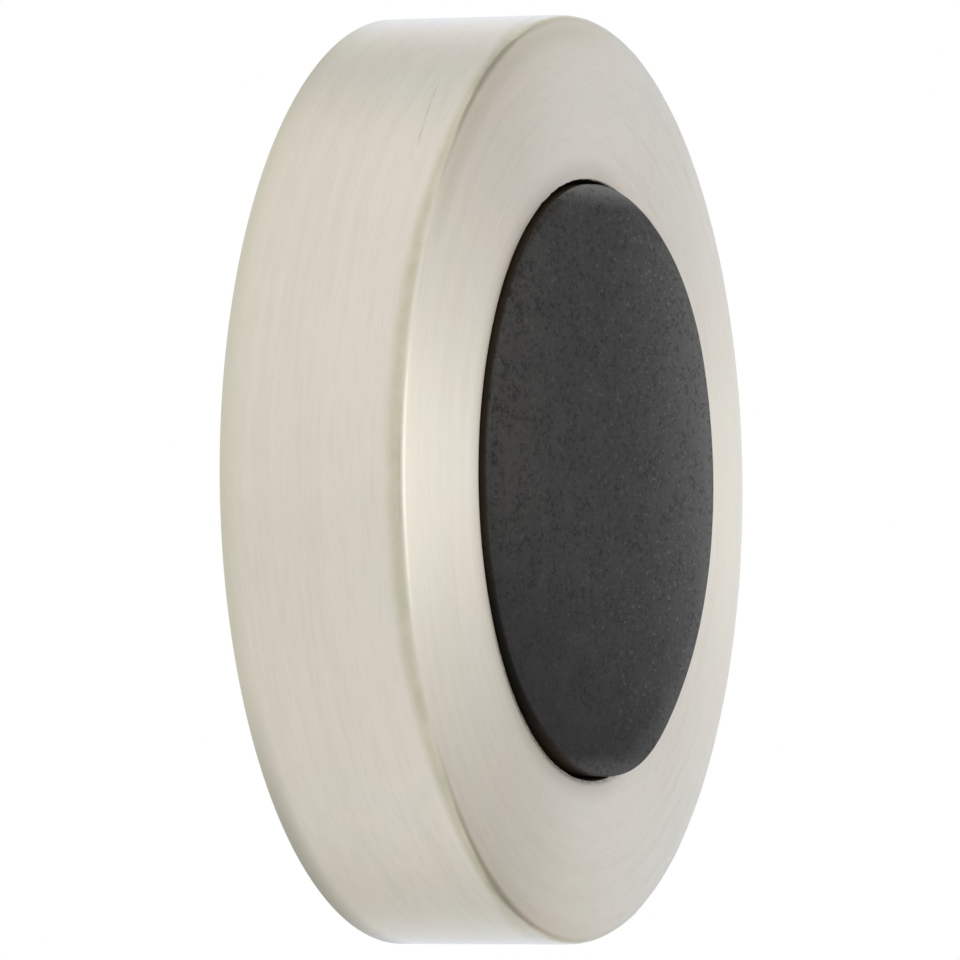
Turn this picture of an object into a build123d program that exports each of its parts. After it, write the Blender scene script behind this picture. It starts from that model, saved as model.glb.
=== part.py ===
"""Round wall door stop: a brushed cast housing with a rubber bumper pad pressed into its front.

The wall plane is y = 0 and the stop faces -Y, with +Z up. The axis of the disc is the Y axis, and
the screw hole on it meets the wall plane at the origin. Heights are measured from the wall plane.
All sizes are in millimetres and degrees.
"""

import os

from build123d import *

# Housing: outside
body_diameter = 60.0
rim_height = 12.3  # side wall to front face, before the edge is rounded
face_width = 10.6  # width of the metal ring round the opening
crown_rise = 0.95  # climb of the front face from the rim to the opening
crown_bow = 0.15  # how far the front face bows out past a straight cone
rim_radius = 0.8
back_edge_chamfer = 0.3

# Housing: the cup that takes the pad
opening_edge_chamfer = 0.2
cup_corner_chamfer = 0.5
floor_thickness = 3.5
screw_hole_diameter = 5.0
countersink_diameter = 9.4
countersink_angle = 90.0

# Housing: the hollow back of the casting
casting_wall = 2.4
casting_draft = 1.0
hollow_corner_chamfer = 0.8
rib_count = 6
rib_thickness = 1.8
rib_recess = 0.8  # ribs stop this far short of the wall plane

# Bumper pad
pad_gap = 0.3  # ring-shaped gap between the pad and the edge of the opening
pad_proud = 0.75  # height of the pad's front above the edge of the opening
pad_edge_chamfer = 0.1
pad_lead_in = 0.8
pad_wall = 7.0  # thickness of the pad's side round the hollow behind it
pad_recess_depth = 5.5
grip_ridge_count = 2
grip_ridge_size = 0.6
grip_ridge_spacing = 3.0
grip_ridge_clearance = 0.03  # between a grip ridge and the wall of the cup

# Sizes that follow
body_radius = body_diameter / 2
opening_radius = body_radius - face_width
opening_height = rim_height + crown_rise
skirt_radius = body_radius - casting_wall
cup_radius = opening_radius + casting_wall
hollow_mid_radius = (cup_radius + skirt_radius) / 2
hollow_depth = rim_height - casting_wall
pad_radius = opening_radius - pad_gap
pad_height = opening_height + pad_proud

# Half section plane: local x is the radius, local y the height from the wall
half_section = Plane(origin=(0, 0, 0), x_dir=(1, 0, 0), z_dir=(0, 0, -1))
# Planes on the wall that look away from it, and at it
facing_out = Plane.XZ
facing_wall = Plane.ZX


def corner(section, radius, height):
    """The corner of a half section at that radius and height."""
    return section.vertices().sort_by_distance((radius, height)).first


# Housing: one zinc casting. The front is a crowned ring, the cup inside it carries the pad and the
# screw, and the back is hollowed out between the cup and the skirt.
with BuildPart() as housing:
    with BuildSketch(half_section) as section:
        with BuildLine():
            outside = Polyline((0, 0), (body_radius, 0), (body_radius, rim_height))
            crown = SagittaArc(outside @ 1, (opening_radius, opening_height), -crown_bow)
            Polyline(crown @ 1, (opening_radius, floor_thickness), (0, floor_thickness), (0, 0))
        make_face()
        fillet(corner(section, body_radius, rim_height), rim_radius)
        chamfer(corner(section, opening_radius, opening_height), opening_edge_chamfer)
        chamfer(corner(section, body_radius, 0), back_edge_chamfer)
        chamfer(corner(section, opening_radius, floor_thickness), cup_corner_chamfer)
    revolve(axis=Axis.Y)

    # Ring-shaped hollow, drafted so that the casting leaves its die
    with BuildSketch(half_section) as section:
        with Locations((hollow_mid_radius, 0)):
            Trapezoid(
                skirt_radius - cup_radius,
                hollow_depth,
                90 - casting_draft,
                align=(Align.CENTER, Align.MIN),
            )
        chamfer(section.vertices().group_by(Axis.Y)[-1], hollow_corner_chamfer)
    revolve(axis=Axis.Y, mode=Mode.SUBTRACT)

    # Ribs across the hollow tie the cup to the skirt
    with BuildSketch(facing_out.offset(rib_recess)):
        with PolarLocations(hollow_mid_radius, rib_count):
            Rectangle(skirt_radius - cup_radius + casting_wall, rib_thickness)
    extrude(amount=hollow_depth - rib_recess)

    with Locations(facing_out.offset(floor_thickness)):
        CounterSinkHole(
            screw_hole_diameter / 2, countersink_diameter / 2, counter_sink_angle=countersink_angle
        )

# Bumper pad: one rubber moulding, hollow behind, where it clears the screw head. It stands on the
# floor of the cup, and ridges round its side grip the wall of the cup.
with BuildPart() as bumper_pad:
    with BuildSketch(half_section) as section:
        with BuildLine():
            Polyline(
                (0, floor_thickness),
                (pad_radius, floor_thickness),
                (pad_radius, pad_height),
                (0, pad_height),
                close=True,
            )
        make_face()
        chamfer(corner(section, pad_radius, pad_height), pad_edge_chamfer)
        chamfer(corner(section, pad_radius, floor_thickness), pad_lead_in)
        ridge_radius = opening_radius - grip_ridge_clearance - grip_ridge_size
        ridge_height = (floor_thickness + opening_height) / 2
        with Locations((ridge_radius, ridge_height)):
            with GridLocations(0, grip_ridge_spacing, 1, grip_ridge_count):
                RegularPolygon(grip_ridge_size, 4)
    revolve(axis=Axis.Y)

    with Locations(facing_wall.offset(-floor_thickness)):
        Hole(pad_radius - pad_wall, depth=pad_recess_depth)

housing.part.label = "housing"
bumper_pad.part.label = "bumper_pad"

os.makedirs("parts", exist_ok=True)
export_step(housing.part, "parts/housing.step")
export_step(bumper_pad.part, "parts/bumper_pad.step")
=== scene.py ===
import math
from collections import namedtuple

import bmesh
import bpy
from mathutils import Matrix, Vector, noise


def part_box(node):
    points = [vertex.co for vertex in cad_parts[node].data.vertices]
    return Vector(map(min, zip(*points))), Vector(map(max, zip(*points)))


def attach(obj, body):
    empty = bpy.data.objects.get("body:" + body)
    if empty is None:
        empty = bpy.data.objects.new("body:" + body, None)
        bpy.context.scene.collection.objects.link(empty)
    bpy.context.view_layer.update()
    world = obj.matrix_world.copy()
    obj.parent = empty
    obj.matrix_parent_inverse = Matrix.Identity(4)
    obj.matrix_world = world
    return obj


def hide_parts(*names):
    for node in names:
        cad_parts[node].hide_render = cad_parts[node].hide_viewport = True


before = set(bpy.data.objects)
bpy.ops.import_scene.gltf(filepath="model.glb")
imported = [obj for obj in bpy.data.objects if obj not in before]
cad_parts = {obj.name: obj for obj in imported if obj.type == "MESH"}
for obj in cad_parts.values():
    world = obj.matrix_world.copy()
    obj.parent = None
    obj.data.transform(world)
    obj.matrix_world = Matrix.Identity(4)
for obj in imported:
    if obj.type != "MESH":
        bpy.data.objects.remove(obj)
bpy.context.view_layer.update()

# Housing: one zinc casting, nickel plated. The side wall and the crowned front ring are brushed while
# it turns, so fine lines run round them. The cup, the back and the hollow keep their cast skin.
MM = 0.001
body_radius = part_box("housing")[1].x
rim_height = 12.3 * MM
rim_slope = math.radians(14.0)
rim_curl = 0.9 * MM
rim_curl_tightness = 8
rim_roll_width = 0.56 * MM
rim_roll_height = 1.2 * MM
rim_roll_tightness = 2.3
rim_wander = 0.025 * MM
back_edge_chamfer = 0.1 * MM
face_width = 10.6 * MM
crown_rise = 0.95 * MM
opening_edge_chamfer = 0.06 * MM
opening_edge_wander = 0.025 * MM
opening_edge_fall = 0.05 * MM
opening_edge_tightness = 14
opening_edge_depth = 0.18 * MM
opening_sag = 0.06 * MM
opening_nicks = 0.16 * MM
opening_burr = 0.10 * MM
opening_burr_tilt = 0.6
opening_burr_depth = 0.36 * MM
cup_corner_chamfer = 0.5 * MM
floor_thickness = 3.5 * MM
screw_hole_radius = 2.5 * MM
countersink_radius = 4.7 * MM
casting_wall = 2.4 * MM
casting_draft = math.radians(1.0)
hollow_corner_chamfer = 0.8 * MM
hollow_corner_draft_share = 0.9
rib_count = 6
rib_thickness = 1.8 * MM
rib_recess = 0.8 * MM
opening_radius = body_radius - face_width
opening_height = rim_height + crown_rise
rim_end_radius = body_radius - rim_roll_width
rim_end_height = rim_height + rim_roll_width * math.tan(rim_slope)
skirt_radius = body_radius - casting_wall
cup_radius = opening_radius + casting_wall
hollow_depth = rim_height - casting_wall
housing_turns = 360
BRUSHED, CAST = 0, 1
# An arc is the middle and the half width of a stretch of edge, in degrees from the right over the top.
opening_sag_arc = (260.0, 42.0)
opening_nicks_arc = (112.0, 26.0)
opening_burr_arc = (84.0, 26.0)


def rim_roll(share):
    """Radius and height on the rolled rim, tight to its corner: share 0 at the wall, 1 at the ring."""
    wall, ring = (1.0 - share) ** 2, share ** 2
    total = wall + 2.0 * rim_roll_tightness * share * (1.0 - share) + ring
    radius = body_radius - rim_roll_width * ring / total
    return radius, rim_height + ((rim_end_height - rim_height) * ring - rim_roll_height * wall) / total


def crown(share):
    """Radius and height on the front ring: share 0 at the rim, 1 at the opening."""
    width = rim_end_radius - opening_radius
    rise = opening_height - rim_end_height
    bow = width * math.tan(rim_slope) - rise - rim_curl
    swell = bow * share * (1.0 - share) + rim_curl * share * (1.0 - share) ** rim_curl_tightness
    return rim_end_radius - width * share, rim_end_height + rise * share + swell


def bell(angle, arc):
    """1 at the middle of the arc, falling smoothly to 0 at its ends."""
    middle, half_width = arc
    away = abs((math.degrees(angle) - middle + 180.0) % 360.0 - 180.0) / half_width
    return 0.5 + 0.5 * math.cos(math.pi * away) if away < 1.0 else 0.0


def waver(angle, waves):
    """A smooth swing between about -1 and 1 on the way round the axis, finer with more waves."""
    return noise.noise(Vector((math.cos(angle), math.sin(angle), 0.0)) * waves)


def housing_outline(angle):
    """The housing's section as (radius, height, finish of the wall that follows)."""
    edge = opening_edge_wander * (waver(angle, 9.0) + 0.5 * waver(angle, 40.0))
    edge += opening_sag * bell(angle, opening_sag_arc)
    edge += opening_nicks * bell(angle, opening_nicks_arc) * max(0.0, waver(angle, 32.0))
    burr = opening_burr * bell(angle, opening_burr_arc) * (0.8 + 0.5 * waver(angle, 70.0))
    wobble = rim_wander * (waver(angle, 7.0) + 0.6 * waver(angle, 25.0))
    outline = [
        (skirt_radius, 0.0, CAST),
        (body_radius - back_edge_chamfer, 0.0, BRUSHED),
        (body_radius, back_edge_chamfer, BRUSHED),
    ]
    roll_rows = 20
    for row in range(roll_rows):
        share = row / roll_rows
        radius, height = rim_roll(share)
        swell = wobble * math.sin(math.pi * share)
        outline.append((radius - swell, height - swell, BRUSHED))
    crown_rows = 24
    for row in range(crown_rows + 1):
        share = row / crown_rows
        radius, height = crown(share * (1.0 - opening_edge_chamfer / face_width))
        near_edge = share ** opening_edge_tightness
        outline.append((radius + edge * near_edge, height - opening_edge_fall * near_edge, BRUSHED))
    draft = hollow_depth * math.tan(casting_draft)
    corner_draft = draft * hollow_corner_draft_share
    outline += [
        (opening_radius + edge, opening_height - opening_edge_chamfer, BRUSHED),
        (opening_radius - burr, opening_height - opening_edge_depth + opening_burr_tilt * burr, CAST),
        (opening_radius, opening_height - opening_burr_depth, CAST),
        (opening_radius, floor_thickness + cup_corner_chamfer, CAST),
        (opening_radius - cup_corner_chamfer, floor_thickness, CAST),
        (countersink_radius, floor_thickness, CAST),
        (screw_hole_radius, floor_thickness - countersink_radius + screw_hole_radius, CAST),
        (screw_hole_radius, 0.0, CAST),
        (cup_radius, 0.0, CAST),
        (cup_radius + corner_draft, hollow_depth - hollow_corner_chamfer, CAST),
        (cup_radius + draft + hollow_corner_chamfer, hollow_depth, CAST),
        (skirt_radius - draft - hollow_corner_chamfer, hollow_depth, CAST),
        (skirt_radius - corner_draft, hollow_depth - hollow_corner_chamfer, CAST),
    ]
    return outline


def at(radius, height, angle):
    """A point by its radius, its height from the wall plane and its angle round the axis."""
    return Vector((radius * math.cos(angle), -height, radius * math.sin(angle)))


def lathe(outline_at, turns, ring):
    """A piece turned about the Y axis: a ring if its outline closes on itself, else capped at the axis."""
    turned = bmesh.new()
    angles = [2.0 * math.pi * turn / turns for turn in range(turns)]
    outlines = [outline_at(angle) for angle in angles]
    rings = [
        [turned.verts.new(at(radius, height, angle)) for radius, height, finish in outline]
        for angle, outline in zip(angles, outlines)
    ]
    corners = len(outlines[0])
    for turn in range(turns):
        here, there = rings[turn], rings[(turn + 1) % turns]
        for row in range(corners if ring else corners - 1):
            step = (row + 1) % corners
            face = turned.faces.new((here[row], here[step], there[step], there[row]))
            face.material_index = outlines[0][row][2]
    if not ring:
        for row in (0, -1):
            cap = turned.faces.new([points[row] for points in rings])
            cap.material_index = outlines[0][row][2]
    for face in turned.faces:
        face.smooth = True
    bmesh.ops.recalc_face_normals(turned, faces=turned.faces)
    return turned


def casting_ribs():
    """The ribs across the hollow, each a plain bar let into both walls."""
    bars = bmesh.new()
    bite = casting_wall / 3.0
    inner, outer = cup_radius - bite, skirt_radius + bite
    sides = ((0, 1, 5, 4), (1, 2, 6, 5), (2, 3, 7, 6), (3, 0, 4, 7))
    for rib in range(rib_count):
        angle = 2.0 * math.pi * rib / rib_count
        along = Vector((math.cos(angle), 0.0, math.sin(angle)))
        across = Vector((-math.sin(angle), 0.0, math.cos(angle))) * rib_thickness / 2.0
        corners = []
        for height in (rib_recess, hollow_depth + bite):
            for radius, side in ((inner, -1), (outer, -1), (outer, 1), (inner, 1)):
                place = along * radius + across * side + Vector((0.0, -height, 0.0))
                corners.append(bars.verts.new(place))
        for around in ((0, 1, 2, 3), (4, 5, 6, 7), *sides):
            face = bars.faces.new([corners[corner] for corner in around])
            face.material_index = CAST
    bmesh.ops.recalc_face_normals(bars, faces=bars.faces)
    return bars


def new_piece(name, shape, crease):
    """A scene object from a bmesh, with edges sharper than the crease angle left crisp."""
    mesh = bpy.data.meshes.new(name)
    shape.to_mesh(mesh)
    shape.free()
    mesh.set_sharp_from_angle(angle=crease)
    piece = bpy.data.objects.new(name, mesh)
    bpy.context.scene.collection.objects.link(piece)
    return piece


casting_crease = math.radians(32.0)
housing = new_piece("housing_casting", lathe(housing_outline, housing_turns, True), casting_crease)
ribs = new_piece("rib_bars", casting_ribs(), casting_crease)


def add(tree, kind, inputs=None, **settings):
    """A new node with its settings, each input set to a value or linked from a socket."""
    made = tree.nodes.new(kind)
    for name, value in settings.items():
        setattr(made, name, value)
    for name, value in (inputs or {}).items():
        if isinstance(value, bpy.types.NodeSocket):
            tree.links.new(value, made.inputs[name])
        else:
            made.inputs[name].default_value = value
    return made


def sum_of(tree, first, *others):
    """The values added together."""
    for other in others:
        first = add(tree, "ShaderNodeMath", {0: first, 1: other}, operation="ADD").outputs[0]
    return first


def product_of(tree, first, *others):
    """The values multiplied together."""
    for other in others:
        first = add(tree, "ShaderNodeMath", {0: first, 1: other}, operation="MULTIPLY").outputs[0]
    return first


def size_of(tree, value):
    """The value without its sign."""
    return add(tree, "ShaderNodeMath", {0: value}, operation="ABSOLUTE").outputs[0]


def ramp_between(tree, value, start, end, strength=1.0):
    """0 before the start, the strength past the end and smooth between, whichever of the two is greater."""
    ramp = add(
        tree,
        "ShaderNodeMapRange",
        {"Value": value, "From Min": start, "From Max": end, "To Max": strength},
        interpolation_type="SMOOTHSTEP",
    )
    return ramp.outputs["Result"]


def blend_between(tree, share, first, second):
    """A value that goes straight from the first to the second as the share goes from 0 to 1."""
    return add(tree, "ShaderNodeMapRange", {"Value": share, "To Min": first, "To Max": second}).outputs[0]


def layered(tree, tone, layers):
    """The tone with the colour of each layer laid over it in turn, as far as that layer's mask lets it."""
    for mask, colour in layers:
        tone = add(tree, "ShaderNodeMix", {0: mask, 6: tone, 7: colour}, data_type="RGBA").outputs[2]
    return tone


Spot = namedtuple("Spot", "across depth rise outward radius")


def spot_on(tree):
    """Where a spot of the surface is: across to the right, depth (0 at the wall, falling to the front) and
    rise, with its way outward from the axis and its radius."""
    place = add(tree, "ShaderNodeTexCoord").outputs["Object"]
    parts = add(tree, "ShaderNodeSeparateXYZ", {0: place}).outputs
    flat = add(tree, "ShaderNodeCombineXYZ", {"X": parts["X"], "Z": parts["Z"]}).outputs[0]
    outward = add(tree, "ShaderNodeVectorMath", {0: flat}, operation="NORMALIZE").outputs[0]
    radius = add(tree, "ShaderNodeVectorMath", {0: flat}, operation="LENGTH").outputs["Value"]
    return Spot(parts["X"], parts["Y"], parts["Z"], outward, radius)


def new_group(name, inputs, output):
    """An empty shader node group with number sockets: the sockets it is given and the one it fills."""
    group = bpy.data.node_groups.new(name, "ShaderNodeTree")
    for socket, start in inputs.items():
        made = group.interface.new_socket(socket, in_out="INPUT", socket_type="NodeSocketFloat")
        made.default_value = start
    group.interface.new_socket(output, in_out="OUTPUT", socket_type="NodeSocketFloat")
    return group, add(group, "NodeGroupInput").outputs, add(group, "NodeGroupOutput").inputs[output]


def turned_lines_group():
    """Lines round the Y axis: Width across a line and Drift off true round in metres, Arcs per turn."""
    group, given, lines = new_group("turned_lines", {"Width": 0.1 * MM, "Drift": 0.0, "Arcs": 4.0}, "Lines")
    spot = spot_on(group)
    turn = add(group, "ShaderNodeSeparateXYZ", {0: spot.outward}).outputs
    along = sum_of(group, spot.radius, spot.depth, product_of(group, given["Drift"], turn["X"]))
    where = add(
        group,
        "ShaderNodeCombineXYZ",
        {
            "X": product_of(group, turn["X"], given["Arcs"]),
            "Y": add(group, "ShaderNodeMath", {0: along, 1: given["Width"]}, operation="DIVIDE").outputs[0],
            "Z": product_of(group, turn["Z"], given["Arcs"]),
        },
    ).outputs[0]
    streaks = add(
        group, "ShaderNodeTexNoise", {"Vector": where, "Scale": 1.0, "Detail": 3.0, "Roughness": 0.6}
    )
    group.links.new(streaks.outputs[0], lines)
    return group


def grain_group():
    """A cloudy grain: Scale in spots per metre, Squeeze across to draw it out, Shift to a fresh pattern."""
    inputs = {"Scale": 1000.0, "Detail": 2.0, "Roughness": 0.5, "Squeeze": 1.0, "Shift": 0.0}
    group, given, grain = new_group("grain", inputs, "Grain")
    place = add(group, "ShaderNodeTexCoord").outputs["Object"]
    squeeze = add(group, "ShaderNodeCombineXYZ", {"X": given["Squeeze"], "Y": 1.0, "Z": 1.0}).outputs[0]
    drawn = add(group, "ShaderNodeVectorMath", {0: place, 1: squeeze}, operation="MULTIPLY").outputs[0]
    shift = add(
        group, "ShaderNodeVectorMath", {0: (0.4, 0.7, 0.2), "Scale": given["Shift"]}, operation="SCALE"
    ).outputs[0]
    moved = add(group, "ShaderNodeVectorMath", {0: drawn, 1: shift}, operation="ADD").outputs[0]
    cloud = add(
        group,
        "ShaderNodeTexNoise",
        {
            "Vector": moved,
            "Scale": given["Scale"],
            "Detail": given["Detail"],
            "Roughness": given["Roughness"],
        },
    )
    group.links.new(cloud.outputs[0], grain)
    return group


turned_lines = turned_lines_group()
surface_grain = grain_group()


def lines_round(tree, width, arcs, drift=0.0):
    """The turned lines, placed in a material with its own width, arcs and drift."""
    inputs = {"Width": width, "Drift": drift, "Arcs": arcs}
    return add(tree, "ShaderNodeGroup", inputs, node_tree=turned_lines).outputs["Lines"]


def grain_on(tree, scale, detail, roughness=0.5, squeeze=1.0, shift=0.0):
    """The grain, placed in a material with its own scale, detail, roughness, squeeze and shift."""
    inputs = {"Scale": scale, "Detail": detail, "Roughness": roughness, "Squeeze": squeeze, "Shift": shift}
    return add(tree, "ShaderNodeGroup", inputs, node_tree=surface_grain).outputs["Grain"]


def new_material(name):
    """A material with one plain surface shader, its node tree and that shader."""
    material = bpy.data.materials.new(name)
    material.use_nodes = True
    tree = material.node_tree
    tree.nodes.clear()
    surface = add(tree, "ShaderNodeBsdfPrincipled")
    add(tree, "ShaderNodeOutputMaterial", {"Surface": surface.outputs[0]})
    return material, tree, surface


def dress(tree, surface, tone, rough, height, relief, strength):
    """Lead a tone, a roughness and a bump, relief metres high at full height, to the surface."""
    tree.links.new(tone, surface.inputs["Base Color"])
    tree.links.new(rough, surface.inputs["Roughness"])
    bump = add(tree, "ShaderNodeBump", {"Height": height, "Distance": relief, "Strength": strength})
    tree.links.new(bump.outputs[0], surface.inputs["Normal"])


nickel_back = (0.706, 0.654, 0.556, 1.0)
nickel_front = (0.749, 0.696, 0.613, 1.0)
nickel_face = (0.727, 0.681, 0.603, 1.0)
nickel_painted_cool_light = (0.766, 0.722, 0.650, 1.0)
nickel_green = (0.700, 0.690, 0.600, 1.0)
nickel_pink = (0.752, 0.672, 0.602, 1.0)
nickel_streak = (0.765, 0.715, 0.630, 1.0)
nickel_shade = (0.690, 0.643, 0.557, 1.0)
nickel_nick = (0.645, 0.600, 0.515, 1.0)
nickel_painted_pad_reflection = (0.600, 0.553, 0.487, 1.0)
nickel_painted_edge_shade = (0.635, 0.608, 0.497, 1.0)
nickel_scratch = (0.615, 0.573, 0.497, 1.0)
nickel_soot = (0.210, 0.195, 0.165, 1.0)
nickel_painted_foot_shade = (0.440, 0.420, 0.345, 1.0)
nickel_rim_painted_shade = (0.545, 0.513, 0.390, 1.0)
cast_light = (0.345, 0.332, 0.306, 1.0)
cast_dark = (0.285, 0.273, 0.250, 1.0)
painted_shade_width = 1.9 * MM
soot_width = 0.5 * MM
back_edge_fade = 1.4 * MM
upper_rim_shade_start = 2.4 * MM
upper_rim_shade_full = 0.9 * MM
rim_band = 1.35 * MM
scratch_start = 12.88 * MM
scratch_slope = -0.136
scratch_width = 0.12 * MM


def opening_painted_shade(tree, spot, away):
    """Painted shade: a darker ring, the metal's reflection of the black pad, round the left half of the
    opening, most at its top and foot.
    """
    near_start, near_full = opening_radius + painted_shade_width, opening_radius - 0.2 * painted_shade_width
    return product_of(
        tree,
        ramp_between(tree, spot.radius, near_start, near_full),
        blend_between(tree, away, 0.6, 1.6),
        ramp_between(tree, spot.across, 0.3 * body_radius, 0.0),
    )


def edge_painted_shade(tree, spot, face):
    """Painted shade: a darker band along the back edge, and one on the front ring inside the rim, at the
    upper left.
    """
    up_left = sum_of(tree, spot.rise, product_of(tree, spot.across, -0.5))
    upper_rim = product_of(
        tree,
        ramp_between(tree, spot.radius, body_radius - upper_rim_shade_start, body_radius - upper_rim_shade_full),
        ramp_between(tree, up_left, 0.85 * body_radius, 0.98 * body_radius, 0.75),
        face,
    )
    return sum_of(tree, ramp_between(tree, spot.depth, -back_edge_fade, 0.0), upper_rim)


def wall_scratch(tree, spot, breaks):
    """One thin, broken scratch at the upper left of the side wall, slanting a little off true round."""
    slant = product_of(tree, spot.rise, scratch_slope)
    off_line = size_of(tree, sum_of(tree, spot.depth, slant, scratch_start))
    return product_of(
        tree,
        ramp_between(tree, off_line, scratch_width, 0.2 * scratch_width),
        ramp_between(tree, spot.across, 0.0, -0.2 * body_radius),
        ramp_between(tree, spot.rise, 0.67 * body_radius, 0.71 * body_radius),
        ramp_between(tree, spot.rise, 0.86 * body_radius, 0.76 * body_radius),
        ramp_between(tree, breaks, 0.3, 0.5),
    )


def opening_soot(tree, spot, specks):
    """Sooty specks on the lower left edge of the opening."""
    return product_of(
        tree,
        ramp_between(tree, spot.radius, opening_radius + soot_width, opening_radius + 0.1 * soot_width),
        ramp_between(tree, spot.rise, -0.2 * body_radius, -0.5 * body_radius),
        ramp_between(tree, spot.across, 0.25 * body_radius, 0.05 * body_radius),
        ramp_between(tree, specks, 0.30, 0.55),
    )


def foot_painted_shade(tree, spot):
    """Painted shade on the back edge, darker toward the foot."""
    return product_of(
        tree,
        ramp_between(tree, spot.depth, -1.3 * back_edge_fade, 0.0),
        ramp_between(tree, spot.rise, -0.4 * body_radius, -0.8 * body_radius),
    )


def rim_shade(tree, spot, level, away, rim_band_streaks):
    """Painted shade and reflection: a streaky dark band where the wall meets the rolled rim, wider at the
    sides, the top and the foot.
    """
    band = sum_of(
        tree,
        blend_between(tree, away, rim_band, 0.6 * rim_band),
        ramp_between(tree, level, 0.87 * body_radius, 0.97 * body_radius, 0.65 * rim_band),
    )
    band_start = sum_of(tree, band, -rim_height)
    band_full = sum_of(tree, product_of(tree, band, 0.3), -rim_height)
    reach = blend_between(tree, away, -0.45 * rim_roll_width, -1.1 * rim_roll_width)
    roll_start = sum_of(tree, reach, body_radius)
    rim_band_mottle = {"Value": rim_band_streaks, "From Min": 0.3, "From Max": 0.6, "To Min": 0.6}
    return product_of(
        tree,
        ramp_between(tree, spot.depth, band_start, band_full),
        ramp_between(tree, spot.radius, roll_start, body_radius - 0.02 * rim_roll_width),
        add(tree, "ShaderNodeMapRange", rim_band_mottle).outputs[0],
    )


def brushed_nickel():
    """The plated outside: brush lines, a patchy tint, a scratch and sooty specks, with painted shade and
    reflection at the opening, along the edges and at the rim, and painted cool light on the right of the
    front ring.
    """
    material, tree, surface = new_material("brushed_nickel")
    spot = spot_on(tree)
    level = size_of(tree, spot.rise)
    away = ramp_between(tree, level, 0.3 * body_radius, 0.8 * body_radius)
    face_start, face_full = body_radius - 0.4 * rim_roll_width, body_radius - 2.0 * rim_roll_width
    face = ramp_between(tree, spot.radius, face_start, face_full)
    right_side = ramp_between(tree, spot.across, 0.0, 0.35 * body_radius)
    patch = grain_on(tree, 170.0, 1.0)
    broad = lines_round(tree, 0.9 * MM, 1.5)
    bright = lines_round(tree, 0.28 * MM, 14.0)
    dark = lines_round(tree, 0.36 * MM, 11.0, 0.3 * MM)
    nick = lines_round(tree, 0.12 * MM, 45.0, 1.0 * MM)
    groove = lines_round(tree, 0.11 * MM, 14.0, 0.6 * MM)
    rim_band_streaks = lines_round(tree, 1.5 * MM, 14.0)
    layers = [
        (ramp_between(tree, spot.depth, 0.0, -0.75 * rim_height), nickel_front),
        (face, nickel_face),
        # Painted light: a lighter, cooler tint on the front ring's upper and lower right, where cool light
        # from the right falls.
        (product_of(tree, away, right_side, face), nickel_painted_cool_light),
        (ramp_between(tree, patch, 0.50, 0.62, 0.35), nickel_green),
        (ramp_between(tree, patch, 0.50, 0.38, 0.30), nickel_pink),
        (ramp_between(tree, broad, 0.50, 0.36, 0.4), nickel_streak),
        (ramp_between(tree, broad, 0.50, 0.66, 0.5), nickel_shade),
        (ramp_between(tree, bright, 0.48, 0.72, 0.4), nickel_streak),
        (ramp_between(tree, dark, 0.50, 0.72, 0.6), nickel_shade),
        (ramp_between(tree, nick, 0.64, 0.76), nickel_nick),
        (ramp_between(tree, groove, 0.66, 0.76), nickel_nick),
        # Painted shade: the reflection of the black pad round the opening.
        (opening_painted_shade(tree, spot, away), nickel_painted_pad_reflection),
        # Painted shade along the back edge and inside the rim at the upper left.
        (edge_painted_shade(tree, spot, face), nickel_painted_edge_shade),
        (wall_scratch(tree, spot, dark), nickel_scratch),
        (opening_soot(tree, spot, nick), nickel_soot),
        # Painted shade on the back edge toward the foot.
        (foot_painted_shade(tree, spot), nickel_painted_foot_shade),
        # Painted shade and reflection along the foot of the rolled rim.
        (rim_shade(tree, spot, level, away, rim_band_streaks), nickel_rim_painted_shade),
    ]
    rolled = product_of(
        tree,
        ramp_between(tree, spot.depth, rim_roll_height - rim_height, 0.3 * rim_roll_height - rim_height),
        ramp_between(tree, spot.radius, body_radius - rim_roll_width, body_radius - 0.4 * rim_roll_width),
    )
    brush = product_of(tree, sum_of(tree, bright, broad), 0.5)
    polish = blend_between(tree, rolled, 1.0, 0.78)
    rough = product_of(tree, blend_between(tree, brush, 0.46, 0.38), polish)
    dress(tree, surface, layered(tree, nickel_back, layers), rough, brush, 0.004 * MM, 0.25)
    surface.inputs["Metallic"].default_value = 1.0
    surface.inputs["Anisotropic"].default_value = 0.8
    surface.inputs["Anisotropic Rotation"].default_value = 0.25
    tangent = add(tree, "ShaderNodeTangent", direction_type="RADIAL", axis="Y")
    tree.links.new(tangent.outputs[0], surface.inputs["Tangent"])
    return material


def cast_skin():
    """The plated but unbrushed inside and back: clouded, with a pebbled skin."""
    material, tree, surface = new_material("cast_skin")
    cloud = grain_on(tree, 600.0, 6.0, 0.7)
    pebble = grain_on(tree, 4200.0, 2.0)
    tone = layered(tree, cast_dark, [(ramp_between(tree, cloud, 0.35, 0.65), cast_light)])
    dress(tree, surface, tone, blend_between(tree, pebble, 0.40, 0.58), pebble, 0.03 * MM, 0.5)
    surface.inputs["Metallic"].default_value = 1.0
    return material


for finish in (brushed_nickel(), cast_skin()):
    housing.data.materials.append(finish)
    ribs.data.materials.append(finish)
union = housing.modifiers.new("ribs", "BOOLEAN")
union.operation = "UNION"
union.solver = "EXACT"
union.object = ribs
joined = bpy.data.meshes.new_from_object(housing.evaluated_get(bpy.context.evaluated_depsgraph_get()))
housing.modifiers.remove(union)
joined.set_sharp_from_angle(angle=casting_crease)
housing.data = joined
bpy.data.objects.remove(ribs)
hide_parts("housing")
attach(housing, "root")

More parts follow.
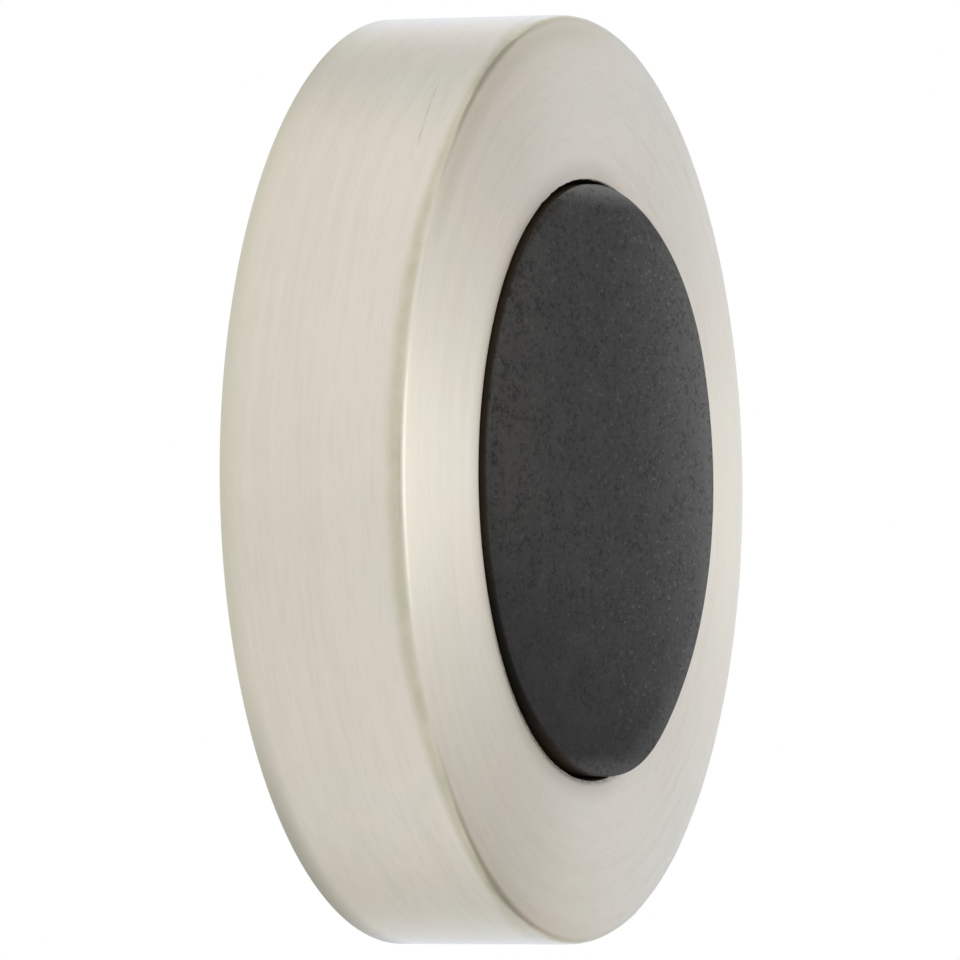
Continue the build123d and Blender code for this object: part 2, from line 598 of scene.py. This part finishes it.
# Bumper pad: black rubber, moulded with a pitted matt face and a crisp edge, and pressed into the cup
# by hand, so it sits about a degree out of square. It is hollow behind, over the screw's head.
pad_gap = 0.35 * MM
pad_seat_play = 0.03 * MM
pad_crown = 0.30 * MM
pad_lean = math.radians(1.26)
pad_corner_lift = 0.11 * MM
pad_foot_lift = 0.25 * MM
pad_lift_tightness = 6
pad_foot_spread = 0.22 * MM
pad_flat = 0.15 * MM
pad_flash = 0.07 * MM
pad_edge_wander = 0.015 * MM
pad_edge_round = 0.07 * MM
pad_top_shoulder = 0.75 * MM
pad_shoulder_fall = 0.5
pad_neck_depth = 1.0 * MM
pad_lead_in = 0.8 * MM
pad_recess_radius = 12.1 * MM
pad_recess_depth = 5.5 * MM
grip_ridge_play = 0.03 * MM
grip_ridge_heights = (9.875 * MM, 6.875 * MM)
pad_radius = opening_radius - pad_gap
pad_front = -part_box("bumper_pad")[0].y - pad_seat_play
grip_ridge_reach = pad_gap - grip_ridge_play
pad_corner_arc = (36.0, 26.0)
pad_foot_lift_arc = (289.0, 30.0)
pad_foot_spread_arc = (284.0, 24.0)
pad_flat_arc = (238.0, 26.0)
pad_flash_arc = (268.0, 16.0)
pad_shoulder_arc = (95.0, 48.0)
pad_crease = math.radians(40.0)
pad_turns = 720
FRONT, SIDE = 0, 1


def pad_outline(angle):
    """The pad's half section from the middle of its front to the middle of its recess."""
    edge = pad_radius + pad_edge_wander * waver(angle, 12.0)
    edge += pad_flash * bell(angle, pad_flash_arc) * waver(angle, 90.0)
    edge += pad_foot_spread * bell(angle, pad_foot_spread_arc) - pad_flat * bell(angle, pad_flat_arc)
    lift = pad_corner_lift * bell(angle, pad_corner_arc) + pad_foot_lift * bell(angle, pad_foot_lift_arc)
    edge_height = pad_front + lift
    shoulder = pad_edge_round + pad_top_shoulder * bell(angle, pad_shoulder_arc)
    fall = shoulder * pad_shoulder_fall
    start = edge - shoulder - pad_edge_round
    outline = []
    crown_rows = 12
    for row in range(1, crown_rows):
        share = row / crown_rows
        height = pad_front + lift * share ** pad_lift_tightness + pad_crown * (1.0 - share * share)
        outline.append((start * share, height, FRONT))
    shoulder_rows = 8
    for row in range(shoulder_rows + 1):
        share = row / shoulder_rows
        outline.append((start + shoulder * share, edge_height - fall * share * share, FRONT))
    round_rows = 4
    for row in range(1, round_rows + 1):
        turn = math.pi / 2 * row / round_rows
        radius = edge - pad_edge_round * (1.0 - math.sin(turn))
        height = edge_height - fall - pad_edge_round * (1.0 - math.cos(turn))
        outline.append((radius, height, FRONT if row == 1 else SIDE))
    outline.append((edge, opening_height - pad_neck_depth, SIDE))
    for height in grip_ridge_heights:
        outline += [
            (pad_radius, height + grip_ridge_reach, SIDE),
            (pad_radius + grip_ridge_reach, height, SIDE),
            (pad_radius, height - grip_ridge_reach, SIDE),
        ]
    outline += [
        (pad_radius, floor_thickness + pad_lead_in, SIDE),
        (pad_radius - pad_lead_in, floor_thickness, SIDE),
        (pad_recess_radius, floor_thickness, SIDE),
        (pad_recess_radius, floor_thickness + pad_recess_depth, SIDE),
    ]
    return outline


rubber_grey = (0.0268, 0.0260, 0.0251, 1.0)
rubber_warm = (0.0375, 0.0336, 0.0305, 1.0)
rubber_painted_sheen = (0.108, 0.108, 0.107, 1.0)
rubber_shade = (0.012, 0.0118, 0.0115, 1.0)
rubber_painted_highlight = (0.140, 0.140, 0.138, 1.0)
rubber_pit = (0.0062, 0.0060, 0.0052, 1.0)
rubber_grain = (0.125, 0.124, 0.120, 1.0)
rubber_black = (0.0250, 0.0172, 0.0078, 1.0)
rubber_dark = (0.0070, 0.0050, 0.0034, 1.0)
grind_squeeze = 0.6
painted_sheen_power = 2.2


def painted_edge_highlight(tree, spot, top_edge):
    """Painted highlights along the top, the foot and the lower right of the pad's front edge."""
    down_right = sum_of(tree, spot.across, product_of(tree, spot.rise, -0.3))
    right_edge = product_of(
        tree,
        ramp_between(tree, spot.radius, 0.86 * pad_radius, 1.0 * pad_radius),
        ramp_between(tree, down_right, 0.15 * pad_radius, 0.9 * pad_radius, 0.34),
    )
    foot = ramp_between(tree, spot.rise, -0.92 * pad_radius, -1.0 * pad_radius, 0.35)
    return sum_of(tree, top_edge, foot, right_edge)


def pitted_rubber():
    """The ground front: grey, greyest toward its right through painted sheen, with painted shade at the
    lower left, painted highlights along its edges, and pits and pale grains that wear thins and thickens
    toward the right.
    """
    material, tree, surface = new_material("pitted_rubber")
    spot = spot_on(tree)
    cloud = grain_on(tree, 420.0, 2.0)
    hollows = grain_on(tree, 2800.0, 3.0, 0.8, grind_squeeze)
    pocks = grain_on(tree, 1500.0, 3.0, 0.7, grind_squeeze)
    grains = grain_on(tree, 3000.0, 3.0, 0.75, grind_squeeze, 1.0)
    up_right = sum_of(tree, spot.across, product_of(tree, spot.rise, 0.2))
    down_left = sum_of(tree, spot.rise, product_of(tree, spot.across, 0.5))
    # Painted sheen: the front grows paler toward its right and a little upward.
    to_right = add(tree, "ShaderNodeMapRange", {"Value": up_right, "From Max": pad_radius}).outputs[0]
    painted_sheen = add(tree, "ShaderNodeMath", {0: to_right, 1: painted_sheen_power}, operation="POWER").outputs[0]
    warmth = ramp_between(tree, spot.across, -0.2 * pad_radius, -0.95 * pad_radius)
    # Painted shade: the front darkens toward its lower left.
    shade = ramp_between(tree, down_left, -0.2 * pad_radius, -1.1 * pad_radius)
    wear = ramp_between(tree, spot.across, -0.35 * pad_radius, pad_radius)
    top_edge = ramp_between(tree, spot.rise, 0.91 * pad_radius, 1.0 * pad_radius)
    clustered = ramp_between(tree, cloud, 0.16, 0.54)
    worn_out = blend_between(tree, wear, 1.0, 0.55)
    dulled = blend_between(tree, top_edge, 1.0, 0.40)
    pit = product_of(tree, ramp_between(tree, hollows, 0.49, 0.38, 0.95), worn_out)
    pock = product_of(tree, ramp_between(tree, pocks, 0.46, 0.35), warmth)
    pits = product_of(tree, sum_of(tree, pit, pock), clustered, dulled)
    pale = product_of(
        tree,
        ramp_between(tree, grains, 0.56, 0.69),
        blend_between(tree, wear, 0.25, 1.05),
        blend_between(tree, shade, 1.0, 0.3),
    )
    layers = [
        (warmth, rubber_warm),
        (painted_sheen, rubber_painted_sheen),
        (shade, rubber_shade),
        # Painted highlights along the front edge.
        (painted_edge_highlight(tree, spot, top_edge), rubber_painted_highlight),
        (pits, rubber_pit),
        (pale, rubber_grain),
    ]
    rough = blend_between(tree, cloud, 0.50, 0.66)
    dress(tree, surface, layered(tree, rubber_grey, layers), rough, hollows, 0.05 * MM, 0.5)
    surface.inputs["Specular IOR Level"].default_value = 0.12
    return material


def smooth_rubber():
    """The moulded side and back, black as they left the mould, faintly mottled and darker toward the
    bottom.
    """
    material, tree, surface = new_material("smooth_rubber")
    rise = spot_on(tree).rise
    mottle = grain_on(tree, 1800.0, 3.0)
    below = product_of(
        tree,
        ramp_between(tree, rise, -0.2 * pad_radius, -0.55 * pad_radius),
        ramp_between(tree, rise, -0.97 * pad_radius, -0.72 * pad_radius),
    )
    mottle_and_low_dark = sum_of(tree, below, ramp_between(tree, mottle, 0.48, 0.66, 0.3))
    tone = layered(tree, rubber_black, [(mottle_and_low_dark, rubber_dark)])
    dress(tree, surface, tone, blend_between(tree, mottle, 0.44, 0.56), mottle, 0.02 * MM, 0.3)
    surface.inputs["Specular IOR Level"].default_value = 0.15
    return material


pad = new_piece("rubber_pad", lathe(pad_outline, pad_turns, False), pad_crease)
for corner in pad.data.vertices:
    raised = (-corner.co.y - floor_thickness) / (opening_height - floor_thickness)
    corner.co.y -= math.tan(pad_lean) * corner.co.x * min(1.0, max(0.0, raised))
for finish in (pitted_rubber(), smooth_rubber()):
    pad.data.materials.append(finish)
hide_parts("bumper_pad")
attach(pad, "root")

# Floor and cards: a plain pale sheet well under the stop, which a wall carries in use. The cards stand out
# of the camera's sight: grey ones above and below the front, which shade the rounded edges, one beyond the
# camera, and pale ones to the right.
floor_drop = 0.35
floor_size = 12.0
floor_colour = (0.95, 0.95, 0.95)


def stage_sheet(name, corners, colour):
    """A plain matt sheet that belongs to the stage and not to the stop."""
    mesh = bpy.data.meshes.new(name)
    mesh.from_pydata(corners, [], [(0, 1, 2, 3)])
    sheet = bpy.data.objects.new(name, mesh)
    bpy.context.scene.collection.objects.link(sheet)
    material, tree, surface = new_material(name)
    surface.inputs["Base Color"].default_value = (*colour, 1.0)
    surface.inputs["Roughness"].default_value = 0.9
    surface.inputs["Specular IOR Level"].default_value = 0.0
    mesh.materials.append(material)
    return sheet


def toward(azimuth, elevation):
    """The way out from the stop: azimuth 0 is straight in front, positive to the right, in degrees."""
    across, rise = math.radians(azimuth), math.radians(elevation)
    return Vector((math.sin(across) * math.cos(rise), -math.cos(across) * math.cos(rise), math.sin(rise)))


def facing_card(name, azimuth, elevation, distance, width, height, colour):
    """A card square to the line from the stop, out of the camera's sight."""
    outward = toward(azimuth, elevation)
    side = outward.cross(Vector((0.0, 0.0, 1.0))).normalized() * width / 2.0
    rise = side.cross(outward).normalized() * height / 2.0
    middle = outward * distance
    corners = [middle - side - rise, middle + side - rise, middle + side + rise, middle - side + rise]
    stage_sheet(name, corners, colour).visible_camera = False


half = floor_size / 2.0
floor_level = -body_radius - floor_drop
floor_corners = [(x * half, y * half, floor_level) for x, y in ((-1, -1), (1, -1), (1, 1), (-1, 1))]
stage_sheet("floor", floor_corners, floor_colour)
facing_card("flag_above", 53.0, 27.0, 0.50, 0.44, 0.32, (0.815, 0.785, 0.755))
facing_card("core_above", 44.0, 43.0, 0.48, 0.28, 0.36, (0.46, 0.445, 0.42))
facing_card("flag_below", 54.0, -26.0, 0.50, 0.46, 0.34, (0.755, 0.720, 0.670))
facing_card("core_below", 44.0, -41.0, 0.46, 0.30, 0.36, (0.40, 0.375, 0.34))
facing_card("flag_top", 68.0, 62.0, 0.50, 0.16, 0.14, (0.52, 0.52, 0.51))
facing_card("flag_foot", 68.0, -61.0, 0.39, 0.13, 0.12, (0.38, 0.37, 0.35))
facing_card("camera_card", -60.0, 0.0, 1.0, 0.34, 0.5, (0.62, 0.61, 0.57))
facing_card("high_corner", 132.0, 56.0, 0.5, 0.26, 0.24, (0.875, 0.915, 0.92))
facing_card("low_corner", 130.0, -53.0, 0.36, 0.18, 0.16, (0.88, 0.89, 0.87))
facing_card("cool_card", 88.0, 0.0, 0.9, 0.54, 0.80, (0.915, 0.97, 1.0))


# Light: a white tent, which is the world, and three soft lamps out of the camera's sight. The key lamp
# stands in front, a little to the right, and the two bluish ones to the right and behind to the right.
def soft_lamp(name, azimuth, elevation, distance, width, height, radiance, colour):
    """A soft lamp that faces the stop, its power worked out from its glow and its size."""
    data = bpy.data.lights.new(name, "AREA")
    data.shape = "RECTANGLE"
    data.size = width
    data.size_y = height
    data.energy = radiance * math.pi * width * height
    data.color = colour
    lamp = bpy.data.objects.new(name, data)
    bpy.context.scene.collection.objects.link(lamp)
    lamp.location = toward(azimuth, elevation) * distance
    lamp.rotation_euler = lamp.location.to_track_quat("Z", "Y").to_euler()
    lamp.visible_camera = False


soft_lamp("key_lamp", 21.0, 1.2, 0.6, 0.20, 0.18, 1.52, (0.92, 1.0, 0.955))
soft_lamp("strip_lamp", 117.0, 3.0, 0.6, 0.24, 0.60, 0.78, (0.34, 0.60, 1.0))
soft_lamp("right_lamp", 85.0, 0.0, 0.8, 0.32, 0.40, 0.31, (0.08, 0.36, 1.0))
world = bpy.data.worlds.new("white_tent")
bpy.context.scene.world = world
world.use_nodes = True
tent_light = world.node_tree.nodes["Background"]
tent_light.inputs["Color"].default_value = (1.0, 1.0, 1.0, 1.0)
tent_light.inputs["Strength"].default_value = 1.0

# Camera: a long lens to the left of the stop and a little below its centre, so the disc is seen nearly from
# its side. It looks past the middle of the wall face, to the right, so the disc fills the picture evenly.
view_azimuth = -67.52
view_elevation = -1.6
camera_distance = 0.7296
lens_length = 421.2
sensor_width = 36.0
nearest_sight = 0.01
aim_right = 5.03 * MM
aim_up = 0.10 * MM
back = toward(view_azimuth, view_elevation)
right = Vector((math.cos(math.radians(view_azimuth)), math.sin(math.radians(view_azimuth)), 0.0))
aim = right * aim_right + back.cross(right) * aim_up
camera_data = bpy.data.cameras.new("camera")
camera_data.lens = lens_length
camera_data.sensor_width = sensor_width
camera_data.clip_start = nearest_sight
camera = bpy.data.objects.new("camera", camera_data)
bpy.context.scene.collection.objects.link(camera)
camera.location = back * camera_distance
camera.rotation_euler = (camera.location - aim).to_track_quat("Z", "Y").to_euler()
bpy.context.scene.camera = camera
bpy.context.scene.view_settings.view_transform = "Standard"
